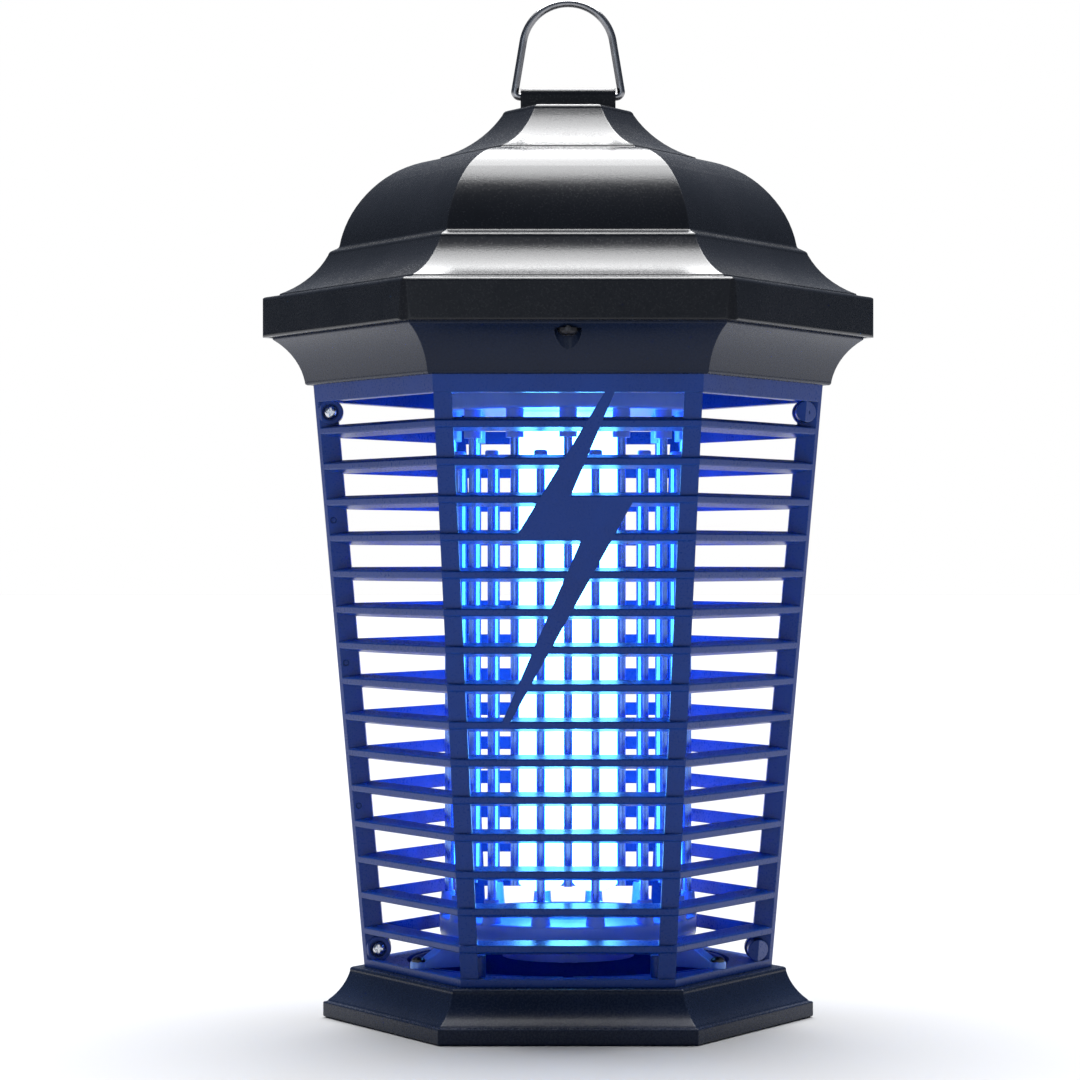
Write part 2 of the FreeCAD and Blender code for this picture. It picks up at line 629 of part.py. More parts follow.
def make_components():
    keep("film_capacitors", *[
        rounded(block(FILM_SIZE, BOARD_TOP, BOARD_TOP + FILM_HEIGHT, Vector(x, y, 0)), FILM_CORNER)
        for x, y in FILM_PLACES])
    can = rod(CAN_R, BOARD_TOP, BOARD_TOP + CAN_HEIGHT, CAN_PLACE)
    rims = [edge for edge in can.Edges if edge.Curve.TypeId == "Part::GeomCircle"]
    keep("smoothing_capacitor", can.makeFillet(CAN_ROUND, rims))
    diode_z = BOARD_TOP + DIODE_R
    keep("diodes", *[pin(DIODE_R, Vector(x, DIODE_Y, diode_z), Vector(x + DIODE_LENGTH, DIODE_Y, diode_z))
                     for x in DIODE_X])


def make_terminal_block():
    top = BOARD_TOP + TERMINAL_HEIGHT
    front = TERMINAL_Y - TERMINAL_SIZE[1] / 2 - OVER
    mouth_low, mouth_high = (BOARD_TOP + z for z in TERMINAL_MOUTH_Z)
    removed = []
    for x in TERMINAL_X:
        spot = Vector(x, TERMINAL_Y, 0)
        removed.append(rod(TERMINAL_SCREW_R, top - TERMINAL_SCREW_DEPTH, top + OVER, spot))
        removed.append(box((x - TERMINAL_MOUTH / 2, x + TERMINAL_MOUTH / 2), (front, TERMINAL_MOUTH_END),
                           (mouth_low, mouth_high)))
    keep("terminal_block", without(block(TERMINAL_SIZE, BOARD_TOP, top, Vector(0, TERMINAL_Y, 0)), removed))


# ---------------------------------------------------------------- lamp

def lamp_body(radius, inset):
    """Twin-leg lamp solid; inset pulls the closed ends in for the hollow inside."""
    low = LAMP_LOW + inset
    shapes = []
    for x in (-LAMP_LEG_X, LAMP_LEG_X):
        leg = rod(radius, low, LAMP_GLASS_TOP, Vector(x, 0, 0))
        low_rim = [edge for edge in leg.Edges if edge.BoundBox.ZMax < low + 0.1]
        shapes.append(leg.makeFillet(radius * LAMP_END_ROUND, low_rim))
    bridge_ends = [Vector(x, 0, LAMP_LOW + LAMP_BRIDGE_UP) for x in (-LAMP_LEG_X, LAMP_LEG_X)]
    shapes.append(pin(radius * LAMP_BRIDGE_R, *bridge_ends))
    return joined(shapes)


def make_lamp():
    glass = lamp_body(LAMP_LEG_R, 0.0).cut(lamp_body(LAMP_LEG_R - LAMP_GLASS, LAMP_GLASS))
    keep("lamp_tube", glass)

    cap = rounded(block(LAMP_CAP_SIZE, LAMP_CAP_LOW, LAMP_CAP_TOP), LAMP_CAP_CORNER)
    key = rounded(block(LAMP_KEY_SIZE, LAMP_CAP_TOP - OVER, LAMP_KEY_TOP), LAMP_KEY_CORNER)
    pin_root = LAMP_CAP_TOP - LAMP_PIN_ROOT
    holes = [rod(LAMP_LEG_R + LAMP_CAP_FIT, LAMP_CAP_LOW - OVER, LAMP_GLASS_TOP, Vector(x, 0, 0))
             for x in (-LAMP_LEG_X, LAMP_LEG_X)]
    pins = []
    for x in LAMP_PIN_X:
        spot = Vector(x, 0, LAMP_PIN_TOP)
        holes.append(rod(LAMP_PIN_R, pin_root, LAMP_CAP_TOP + OVER, spot))
        tip = Part.makeSphere(LAMP_PIN_R, spot)
        pins.append(joined([rod(LAMP_PIN_R, pin_root, LAMP_PIN_TOP, spot), tip]))
    keep("lamp_cap", without(joined([cap, key]), holes))
    keep("lamp_pins", *pins)


def make_lampholder():
    def grown(size):
        return (size[0] + 2 * SOCKET_GAP, size[1] + 2 * SOCKET_GAP)

    ear_top = HEAD_FLOOR + EAR_THICK
    body = rounded(block(LAMPHOLDER_SIZE, HEAD_FLOOR, LAMPHOLDER_TOP), LAMPHOLDER_CORNER)
    ears = rounded(block(EAR_SIZE, HEAD_FLOOR, ear_top), EAR_CORNER)
    socket = block(grown(LAMP_CAP_SIZE), HEAD_FLOOR - OVER, LAMP_CAP_TOP + SOCKET_GAP)
    keyway = block(grown(LAMP_KEY_SIZE), HEAD_FLOOR, LAMP_KEY_TOP + SOCKET_GAP)
    removed = [rounded(socket, LAMP_CAP_CORNER), keyway]
    for x in LAMP_PIN_X:
        removed.append(rod(PIN_HOLE_R, HEAD_FLOOR, LAMP_PIN_TOP + 2 * OVER, Vector(x, 0, 0)))
    for x in LAMPHOLDER_SCREW_X:
        removed.append(rod(EAR_HOLE_R, HEAD_FLOOR - OVER, ear_top + OVER, Vector(x, 0, 0)))
    keep("lampholder", without(joined([body, ears]), removed))
    keep_screws("lampholder_screws", LAMPHOLDER_SCREW,
                [Vector(x, 0, ear_top) for x in LAMPHOLDER_SCREW_X], Z_AXIS)


# ---------------------------------------------------------------- killing grid

UPPER_ANGLES = [-90.0 + ROD_STEP * index for index in range(ROD_PAIRS)]
LOWER_ANGLES = [angle + ROD_STEP / 2 for angle in UPPER_ANGLES]
PLAIN_LOWER_ANGLES = [angle for angle in LOWER_ANGLES if abs(angle - FEED_ANGLE) > 1]


def make_grid_rods():
    keep("upper_grid_rods", *[rod(ROD_R, UPPER_ROD_LOW, UPPER_ROD_TOP, polar(GRID_R, angle))
                              for angle in UPPER_ANGLES])
    keep("lower_grid_rods", *[rod(ROD_R, LOWER_ROD_LOW, LOWER_ROD_TOP, polar(GRID_R, angle))
                              for angle in PLAIN_LOWER_ANGLES])
    cap = turned(ROD_CAP_PROFILE)
    cap_z = LOWER_ROD_TOP - ROD_CAP_SEAT + ROD_GAP
    keep("rod_caps", *[cap.translated(polar(GRID_R, angle, cap_z)) for angle in PLAIN_LOWER_ANGLES])
    keep("feed_rod", rod(ROD_R, LOWER_ROD_LOW, FEED_TOP, polar(GRID_R, FEED_ANGLE)))


def contact_ring(low, outer, angles):
    """Metal ring with a hole, or a notch in its edge, for each rod that is welded to it."""
    ring = tube(outer, outer - RING_WIDTH, low, low + RING_THICK)
    return without(ring, [rod(ROD_HOLE_R, low - OVER, low + RING_THICK + OVER, polar(GRID_R, angle))
                          for angle in angles])


def make_contact_rings():
    upper = contact_ring(UPPER_RING_LOW, UPPER_RING_R, UPPER_ANGLES)
    notch = rod(SLEEVE_R + RING_FEED_GAP, UPPER_RING_LOW - OVER, UPPER_RING_LOW + RING_THICK + OVER,
                polar(GRID_R, FEED_ANGLE))
    keep("upper_contact_ring", upper.cut(notch))
    keep("lower_contact_ring", contact_ring(LOWER_RING_LOW, LOWER_RING_R, LOWER_ANGLES))


def make_upper_holder():
    """Cup under the head with a sleeve round each upper rod."""
    r = UPPER_HOLDER_R
    low = UPPER_HOLDER_LOW
    inner = r - UPPER_HOLDER_WALL
    feed = polar(GRID_R, FEED_ANGLE)
    parts = [turned([(0, low), (r - 1.0, low), ("arc", (r - 0.3, low + 0.3), (r, low + 1.0)), (r, CEILING),
                     (inner, CEILING), (inner, UPPER_HOLDER_PLATE), (0, UPPER_HOLDER_PLATE)])]
    parts.append(rod(SLEEVE_R, SLEEVE_LOW, CEILING, feed))
    removed = [rod(ROD_HOLE_R, SLEEVE_LOW - OVER, CEILING + OVER, feed)]
    for angle in UPPER_ANGLES:
        spot = polar(GRID_R, angle)
        parts.append(rod(SLEEVE_R, SLEEVE_LOW, low + OVER / 2, spot))
        removed.append(rod(ROD_HOLE_R, SLEEVE_LOW - OVER, UPPER_HOLDER_PLATE + OVER, spot))
    for angle in ARM_ANGLES:
        spot = polar(HOLDER_SCREW_OUT, angle)
        parts.append(rod(HOLDER_POST_R, UPPER_HOLDER_PLATE - OVER / 2, CEILING, spot))
        removed.append(rod(M3_PILOT_R, CEILING - HOLDER_PILOT_DEPTH, CEILING + OVER, spot))
    window = (LAMP_CAP_SIZE[0] + LAMP_GAP, LAMP_CAP_SIZE[1] + LAMP_GAP)
    removed.append(rounded(block(window, low - OVER, CEILING + OVER), LAMP_CAP_CORNER))
    keep("upper_grid_holder", without(joined(parts), removed))


def holder_arm(angle):
    """Sloping arm from the dish down to a foot on the guard's floor plate."""
    foot_low = BASE_TOP + FLOOR_PLATE
    foot_top = foot_low + ARM_FOOT
    root = LOWER_HOLDER_IN + OVER / 2
    side = [(root, foot_low), (ARM_SCREW_OUT - OVER, foot_low), (ARM_SCREW_OUT - OVER, foot_top),
            (LOWER_HOLDER_R - 0.4, ARM_HIGH), (root, ARM_HIGH)]
    outline = [Vector(r, -ARM_WIDTH / 2, z) for r, z in side]
    web = Part.Face(Part.makePolygon(outline + [outline[0]])).extrude(Vector(0, ARM_WIDTH, 0))
    foot = rod(ARM_FOOT_R, foot_low, foot_top, Vector(ARM_SCREW_OUT, 0, 0))
    return [shape.rotated(ORIGIN, Z_AXIS, angle) for shape in (web, foot)]


def make_lower_holder():
    """Dish on three arms, with a tapered post round each lower rod and a hub with two clips."""
    parts = [turned(LOWER_HOLDER_PROFILE)]
    removed = []
    for angle in LOWER_ANGLES:
        root = polar(GRID_R, angle, LOWER_HOLDER_TOP - OVER / 2)
        parts.append(Part.makeCone(POST_LOW_R, POST_TOP_R, POST_TOP - root.z, root))
        removed.append(rod(ROD_HOLE_R, LOWER_HOLDER_LOW, POST_TOP + OVER, root))
    foot_top = BASE_TOP + FLOOR_PLATE + ARM_FOOT
    for angle in ARM_ANGLES:
        parts += holder_arm(angle)
        spot = polar(ARM_SCREW_OUT, angle)
        removed.append(rod(ARM_HOLE_R, foot_top - ARM_FOOT - OVER, foot_top + OVER, spot))
        removed.append(rod(ARM_HEAD_R, foot_top, ARM_HIGH + OVER, spot))
    for x in (-CLIP_X, CLIP_X):
        parts.append(box((x - CLIP_WIDTH / 2, x + CLIP_WIDTH / 2), CLIP_Y, (HUB_LOW, HUB_LOW + CLIP_HEIGHT)))
    keep("lower_grid_holder", without(joined(parts), removed))
    keep_screws("lower_holder_screws", ARM_SCREW,
                [polar(ARM_SCREW_OUT, angle, foot_top) for angle in ARM_ANGLES], Z_AXIS)


# ---------------------------------------------------------------- guard

def half_ring(points):
    """Half of a hexagonal ring on the front side; points give corner radius and height round its section."""
    wires = []
    for angle in (180, 240, 300, 360):
        corners = [polar(r, angle, z) for r, z in points]
        wires.append(Part.makePolygon(corners + [corners[0]]))
    return Part.makeLoft(wires, True, True)


def slat(z):
    """One wedge-shaped slat, thin outside and thick inside, with its outer edges broken."""
    half = SLAT_OUTER / 2
    face = half - SLAT_CHAMFER
    r_in = guard_radius(z) - SLAT_DEPTH / COS30
    return half_ring([(guard_radius(z - face), z - face), (guard_radius(z + face), z + face),
                      (guard_radius(z + half) - SLAT_CHAMFER, z + half),
                      (r_in, z + SLAT_INNER / 2), (r_in, z - SLAT_INNER / 2),
                      (guard_radius(z - half) - SLAT_CHAMFER, z - half)])


def top_ring():
    low = guard_radius(TOP_RING_LOW)
    high = guard_radius(CEILING)
    depth = TOP_RING_DEPTH / COS30
    return half_ring([(low, TOP_RING_LOW), (high, CEILING),
                      (high - depth, CEILING), (low - depth, TOP_RING_LOW)])


def guard_corner_post(side):
    """Flat-faced post just inside one front corner, following the taper."""
    wires = []
    for z in (BASE_TOP + OVER / 2, TOP_RING_LOW + OVER):
        r = guard_radius(z)
        outer = side * r / 2
        inner = side * (r / 2 - POST_WIDTH)
        front = POST_SETBACK - r * COS30
        back = front + POST_DEPTH
        wires.append(Part.makePolygon([Vector(x, y, z) for x, y in (
            (outer, front), (inner, front), (inner, back), (outer, back), (outer, front))]))
    return Part.makeLoft(wires, True, True)


def side_flange(side):
    """Upright strip along the joint between the guard's halves, before trimming to the outline."""
    low = guard_radius(BASE_TOP)
    high = guard_radius(CEILING)
    outline = [Vector(side * r, 0, z) for r, z in (
        (low + OVER, BASE_TOP), (high + OVER, CEILING), (high - FLANGE_WIDTH, CEILING),
        (low - FLANGE_WIDTH, BASE_TOP), (low + OVER, BASE_TOP))]
    return Part.Face(Part.makePolygon(outline)).extrude(Vector(0, -FLANGE_THICK, 0))


def lightning_bolt():
    outline = [Vector(x, -guard_radius(z) * COS30, z) for x, z in BOLT_OUTLINE]
    return Part.Face(Part.makePolygon(outline + [outline[0]])).extrude(Vector(0, BOLT_THICK, 0))


def make_guard_half(with_bolt):
    """Front half of the guard. Turned half a turn about Z it is the rear half."""
    def forward(radius, x, z, start, end):
        """Cylinder towards the front, from one depth behind the joint to another in front of it."""
        return pin(radius, Vector(x, start, z), Vector(x, -end, z))

    envelope = hex_solid([(guard_radius(BASE_TOP), BASE_TOP), (guard_radius(CEILING), CEILING)])
    front = box((-REACH, REACH), (-REACH, 0), (0, BAIL_TOP))
    plate_top = BASE_TOP + FLOOR_PLATE
    plate = hex_solid([(guard_radius(BASE_TOP), BASE_TOP), (guard_radius(plate_top), plate_top)])
    parts = [slat(SLAT_FIRST + SLAT_PITCH * index) for index in range(SLAT_COUNT)]
    parts += [guard_corner_post(-1), guard_corner_post(1), top_ring()]
    parts.append(plate.cut(rod(FLOOR_OPENING_R, 0, plate_top + OVER)).common(front))
    parts += [side_flange(side).common(envelope) for side in (-1, 1)]
    removed = []

    for angle in (240, 300):
        low_spot = polar(BASE_SCREW_OUT, angle)
        high_spot = polar(GUARD_TOP_SCREW_OUT, angle)
        parts.append(rod(UPRIGHT_BOSS_R, plate_top - OVER / 2, UPRIGHT_BOSS_TOP, low_spot))
        parts.append(rod(UPRIGHT_BOSS_R, TOP_RING_LOW, CEILING, high_spot))
        removed.append(rod(M3_PILOT_R, BASE_TOP - OVER, UPRIGHT_PILOT_TOP, low_spot))
        removed.append(rod(M3_PILOT_R, CEILING - TOP_PILOT_DEPTH, CEILING + OVER, high_spot))

    for inset, z in FLANGE_SCREWS:
        x = guard_radius(z) - inset
        parts.append(forward(SCREW_BOSS_R, -x, z, 0, SCREW_BOSS_DEPTH).common(envelope))
        parts.append(forward(PLAIN_BOSS_R, x, z, 0, PLAIN_BOSS_DEPTH).common(envelope))
        removed.append(forward(SCREW_SINK_R, -x, z, -FLANGE_THICK, SCREW_BOSS_DEPTH + PLAIN_BOSS_DEPTH))
        removed.append(forward(M3_PILOT_R, -x, z, OVER, SCREW_BOSS_DEPTH + PLAIN_BOSS_DEPTH))
        removed.append(forward(PLAIN_PILOT_R, x, z, OVER, PLAIN_PILOT_DEPTH))
    for z in FLANGE_PEGS:
        x = guard_radius(z) - PEG_INSET
        parts.append(forward(PEG_R, x, z, PEG_LENGTH, OVER))
        removed.append(forward(PEG_HOLE_R, -x, z, OVER, 2 * FLANGE_THICK))

    if with_bolt:
        parts.append(lightning_bolt())
    turn_back = 0 if with_bolt else 180
    for angle in ARM_ANGLES:
        spot = polar(ARM_SCREW_OUT, angle - turn_back)
        removed.append(rod(ARM_PILOT_R, BASE_TOP + ARM_PILOT_FLOOR, plate_top + OVER, spot))
    return without(joined(parts), removed)


def make_guard():
    keep("front_guard", make_guard_half(True))
    keep("rear_guard", make_guard_half(False).rotated(ORIGIN, Z_AXIS, 180))
    pattern = screw(*GUARD_SCREW)
    screws = []
    for inset, z in FLANGE_SCREWS:
        place = Vector(-guard_radius(z) + inset, -FLANGE_THICK, z)
        screws.append(aimed(pattern, place, -Y_AXIS))
        screws.append(aimed(pattern, Vector(-place.x, -place.y, z), Y_AXIS))
    keep("guard_screws", *screws)


# ---------------------------------------------------------------- foot and tray

def make_base():
    outside = hex_solid(BASE_PROFILE)
    parts = [outside.cut(hex_solid(BASE_HOLLOW)),
             tube(SLEEVE_WALL_R + WALL, SLEEVE_WALL_R, BASE_RIB_LOW, BASE_TOP)]
    half = RIB_THICK / 2
    for index in range(6):
        rib = box((SLEEVE_WALL_R + OVER, BASE_RIB_END), (-half, half), (BASE_RIB_LOW, BASE_TOP - OVER))
        parts.append(rib.rotated(ORIGIN, Z_AXIS, 60 * index + 30).common(outside))
    removed = []
    for angle in SCREW_CORNERS:
        spot = polar(BASE_SCREW_OUT, angle)
        parts.append(rod(BASE_BOSS_R, BASE_BOSS_LOW, BASE_TOP - OVER, spot))
        removed.append(rod(BASE_SINK_R, 0, BASE_SEAT, spot))
        removed.append(rod(M3_CLEAR_R, 0, BASE_TOP + OVER, spot))
    base = joined(parts).cut(rod(SLEEVE_WALL_R, 0, BASE_TOP + OVER))

    half = TRAY_RIB_THICK / 2
    grips = [box((TRAY_R + TRAY_RIB_GAP, SLEEVE_WALL_R + OVER / 2), (-half, half), TRAY_RIB_Z)
             .rotated(ORIGIN, Z_AXIS, index * 360 / TRAY_RIBS) for index in range(TRAY_RIBS)]
    keep("base", without(joined([base] + grips), removed))
    keep_screws("base_screws", BASE_SCREW,
                [polar(BASE_SCREW_OUT, angle, BASE_SEAT) for angle in SCREW_CORNERS], -Z_AXIS)


def make_tray():
    notch = box((-NOTCH_WIDTH / 2, NOTCH_WIDTH / 2), (-TRAY_R - OVER, -TRAY_IN + OVER),
                (TRAY_TOP - NOTCH_DEPTH, TRAY_TOP + OVER))
    grips = [rod(GRIP_R, TRAY_LOW - OVER, TRAY_LIP_TOP + OVER, Vector(0, y, 0))
             for y in (-GRIP_OUT, GRIP_OUT)]
    keep("tray", without(turned(TRAY_PROFILE), [notch] + grips))


make_hood()
make_collar()
make_head_screws()
make_grommet()
make_bail()
make_board()
make_transformer()
make_components()
make_terminal_block()
make_lamp()
make_lampholder()
make_grid_rods()
make_contact_rings()
make_upper_holder()
make_lower_holder()
make_guard()
make_base()
make_tray()

os.makedirs("parts", exist_ok=True)
for name, shape in NODES.items():
    shape.exportStep("parts/" + name + ".step")
    size = shape.BoundBox
    print("%-22s solids %2d valid %s vol %9.1f  x %.2f %.2f  y %.2f %.2f  z %.2f %.2f" % (
        name, len(shape.Solids), shape.isValid(), shape.Volume,
        size.XMin, size.XMax, size.YMin, size.YMax, size.ZMin, size.ZMax))
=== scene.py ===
import json
import math

import bmesh
import bpy
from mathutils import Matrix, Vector


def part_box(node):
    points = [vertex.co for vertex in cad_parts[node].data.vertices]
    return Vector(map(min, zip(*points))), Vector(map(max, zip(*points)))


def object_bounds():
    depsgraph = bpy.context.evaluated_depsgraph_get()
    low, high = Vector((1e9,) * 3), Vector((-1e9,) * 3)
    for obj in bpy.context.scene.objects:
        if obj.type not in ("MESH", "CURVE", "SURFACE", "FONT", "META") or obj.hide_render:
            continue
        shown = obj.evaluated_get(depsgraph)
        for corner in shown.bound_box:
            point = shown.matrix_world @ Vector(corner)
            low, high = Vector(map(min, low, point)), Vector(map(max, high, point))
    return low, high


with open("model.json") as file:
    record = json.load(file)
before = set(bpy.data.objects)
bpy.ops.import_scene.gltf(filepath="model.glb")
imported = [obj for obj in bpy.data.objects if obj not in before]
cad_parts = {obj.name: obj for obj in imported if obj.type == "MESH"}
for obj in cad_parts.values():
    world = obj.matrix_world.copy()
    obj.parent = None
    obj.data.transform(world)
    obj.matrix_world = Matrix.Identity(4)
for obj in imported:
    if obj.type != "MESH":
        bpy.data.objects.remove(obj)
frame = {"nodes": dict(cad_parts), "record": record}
CAD_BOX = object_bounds()
NODES = frame["nodes"]
SLOT_OF = {entry["node"]: entry["material_slot"] for entry in frame["record"]["subparts"]}

MM = 0.001
LOW, HIGH = (Vector(corner) for corner in CAD_BOX)
HEIGHT = HIGH.z - LOW.z

# Camera: level, in front of the lantern, a little under its middle; lengths in metres
CAMERA_DISTANCE = 1.12484
CAMERA_HEIGHT = 0.452 * HEIGHT
CAMERA_LENS = 118.33
CAMERA_SENSOR = 36.0
CAMERA_SHIFT = (-0.0260, 0.0157)
CAMERA_REACH = 60.0

# A wide overhead light, tilted to come from a little behind the lantern: it draws the silver
# gradients on the front facets of the hood
SUN_ENERGY = 12.5
SUN_WIDTH_DEG = 62
SUN_TILT_DEG = -20

# Two weak fills, far enough apart that the front facets don't mirror them
FILL_SIDES = {"fill_left": (-1, 2.4), "fill_right": (1, 1.0)}
FILL_ASIDE = 0.55
FILL_BEFORE = 1.85
FILL_HEIGHT = 0.45
FILL_TARGET = (0, 0, 0.12)
FILL_SIZE = (0.7, 0.9)
FILL_COLOUR = (0.80, 0.90, 1.0)

# Surroundings: white where the camera looks past the lantern, dim blue as light and reflection
BACKDROP_COLOUR = (1.0, 1.0, 1.0, 1.0)
BACKDROP_STRENGTH = 1.0
ROOM_COLOUR = (0.55, 0.70, 1.0, 1.0)
ROOM_STRENGTH = 0.12

# Pale floor, just under the foot; the overhead light is strong enough to show it white
FLOOR_HALF_SIDE = 12.0
FLOOR_CELLS = 8
FLOOR_GAP = 0.2 * MM
FLOOR_TONES = (0.288, 0.290, 0.297), (0.294, 0.295, 0.301)
FLOOR_ROUGHNESS = 0.75
FLOOR_GLOSS = 0.1

# Lamp: emission strength where the glass is dark and where it is fully lit, and its ends
LAMP_GLOW = (1.2, 16.0)
LAMP_DEEP_BLUE = (0.02, 0.16, 1.0)
LAMP_BRIGHT_BLUE = (0.10, 0.46, 1.0)
LAMP_FADE_START = 18 * MM
LAMP_FADE_END = 4 * MM
LAMP_FOOT_HEIGHT = 9 * MM
LAMP_FOOT_LEVEL = 0.85

# Texture scales, in features per metre
CLOUD_SCALE = 38.0
SMEAR_SCALE = 160.0
PEBBLE_SCALE = 2300.0
SAND_SCALE = 1500.0
DRAWN_LINE_SCALE = 2600.0
STAIN_SCALE = 150.0
FLOW_SCALE = 90.0
FINE_SCALE = 900.0
COATING_SCALE = 420.0
FLOOR_SCALE = 3.0

# Nearly all of a noise texture lies between these two values
NOISE_LOW = 0.3
NOISE_HIGH = 0.7

# Cosine between the rounded and the plain normal: where an edge is fully worn, and not at all
EDGE_WORN = 0.80
EDGE_PLAIN = 0.995
EDGE_SAMPLES = 4

# Directions in which a texture is stretched
EVEN = (1, 1, 1)
ALONG_Z = (1, 1, 0.04)
FLOWING_DOWN = (1, 1, 0.35)


# ------------------------------------------------------------------ node helpers

class Graph:
    """A material's node tree with short calls for the nodes used here."""

    def __init__(self, name):
        self.material = bpy.data.materials.new(name)
        self.material.use_nodes = True
        self.tree = self.material.node_tree
        self.tree.nodes.clear()
        self.output = self.tree.nodes.new("ShaderNodeOutputMaterial")
        self.place = self.tree.nodes.new("ShaderNodeTexCoord").outputs["Object"]

    def node(self, kind, **settings):
        made = self.tree.nodes.new(kind)
        for key, value in settings.items():
            setattr(made, key, value)
        return made

    def link(self, source, target):
        self.tree.links.new(source, target)

    def noise(self, scale, detail=3.0, roughness=0.6, stretch=EVEN):
        texture = self.node("ShaderNodeTexNoise")
        texture.inputs["Scale"].default_value = scale
        texture.inputs["Detail"].default_value = detail
        texture.inputs["Roughness"].default_value = roughness
        self.link(self.stretched(stretch), texture.inputs["Vector"])
        return texture.outputs["Fac"]

    def cells(self, scale):
        texture = self.node("ShaderNodeTexVoronoi", feature="F1")
        texture.inputs["Scale"].default_value = scale
        self.link(self.place, texture.inputs["Vector"])
        return texture.outputs["Distance"]

    def stretched(self, factors):
        if factors == EVEN:
            return self.place
        mapping = self.node("ShaderNodeMapping")
        mapping.inputs["Scale"].default_value = factors
        self.link(self.place, mapping.inputs["Vector"])
        return mapping.outputs["Vector"]

    def spread(self, value, low, high, start=NOISE_LOW, end=NOISE_HIGH):
        """Map a value from start..end to low..high, clamped."""
        ranged = self.node("ShaderNodeMapRange")
        limits = {"From Min": start, "From Max": end, "To Min": low, "To Max": high}
        for key, number in limits.items():
            ranged.inputs[key].default_value = number
        self.link(value, ranged.inputs["Value"])
        return ranged.outputs["Result"]

    def combine(self, operation, first, second):
        """Add or multiply two values, each a number or a socket."""
        made = self.node("ShaderNodeMath", operation=operation)
        for socket, value in zip(made.inputs, (first, second)):
            if isinstance(value, (int, float)):
                socket.default_value = value
            else:
                self.link(value, socket)
        return made.outputs["Value"]

    def mix(self, factor, first, second):
        """Mix two colours, each a tuple or a socket."""
        made = self.node("ShaderNodeMix", data_type="RGBA")
        self.link(factor, made.inputs["Factor"])
        for name, value in (("A", first), ("B", second)):
            socket = next(s for s in made.inputs if s.name == name and s.type == "RGBA")
            if isinstance(value, tuple):
                socket.default_value = (*value, 1.0)
            else:
                self.link(value, socket)
        return next(s for s in made.outputs if s.type == "RGBA")

    def soft_edge(self, radius):
        """Normal with rounded edges, and a mask that is bright along those edges."""
        bevel = self.node("ShaderNodeBevel", samples=EDGE_SAMPLES)
        bevel.inputs["Radius"].default_value = radius
        geometry = self.node("ShaderNodeNewGeometry")
        dot = self.node("ShaderNodeVectorMath", operation="DOT_PRODUCT")
        self.link(bevel.outputs["Normal"], dot.inputs[0])
        self.link(geometry.outputs["Normal"], dot.inputs[1])
        mask = self.spread(dot.outputs["Value"], 1.0, 0.0, EDGE_WORN, EDGE_PLAIN)
        return bevel.outputs["Normal"], mask

    def bump(self, height, distance, strength, normal):
        made = self.node("ShaderNodeBump")
        made.inputs["Distance"].default_value = distance
        made.inputs["Strength"].default_value = strength
        self.link(height, made.inputs["Height"])
        self.link(normal, made.inputs["Normal"])
        return made.outputs["Normal"]

    def shader(self, **inputs):
        """The surface shader; an input is a number, a colour or a socket."""
        surface = self.node("ShaderNodeBsdfPrincipled")
        for key, value in inputs.items():
            socket = surface.inputs[key.replace("_", " ")]
            if isinstance(value, (int, float)):
                socket.default_value = value
            elif isinstance(value, tuple):
                socket.default_value = (*value, 1.0)
            else:
                self.link(value, socket)
        self.link(surface.outputs["BSDF"], self.output.inputs["Surface"])
        return surface


def scaled(colour, factor):
    return tuple(min(1.0, channel * factor) for channel in colour)


# ------------------------------------------------------------------ materials
# Colours are linear. Edge radius, grain, scratch and scatter depth are in millimetres.

def moulded_plastic(name, colour, worn, roughness, grain, gloss=0.5):
    """Spark-textured moulded plastic: fine pebbled grain, faint mottling, rubbed edges."""
    edge = 0.45
    mottle = 0.12
    wear_strength = (0.15, 0.8)
    wear_patches = (0.40, 0.65)
    grain_strength = 0.9
    graph = Graph(name)
    normal, rim = graph.soft_edge(edge * MM)
    cloud = graph.noise(CLOUD_SCALE, detail=4.0)
    smear = graph.noise(SMEAR_SCALE)
    pebbles = graph.cells(PEBBLE_SCALE)
    sand = graph.noise(SAND_SCALE, detail=4.0, roughness=0.7)
    mottled = graph.mix(graph.spread(cloud, 0.0, 1.0),
                        scaled(colour, 1 - mottle), scaled(colour, 1 + mottle))
    wear = graph.combine("MULTIPLY", rim, graph.spread(smear, *wear_strength, *wear_patches))
    base = graph.mix(wear, mottled, worn)
    sand_gloss = graph.spread(sand, -0.07, 0.07)
    cloud_gloss = graph.spread(cloud, roughness - 0.015, roughness + 0.02)
    height = graph.combine("ADD", pebbles, sand)
    graph.shader(Base_Color=base, Roughness=graph.combine("ADD", sand_gloss, cloud_gloss),
                 Specular_IOR_Level=gloss,
                 Normal=graph.bump(height, grain * MM, grain_strength, normal))
    return graph.material


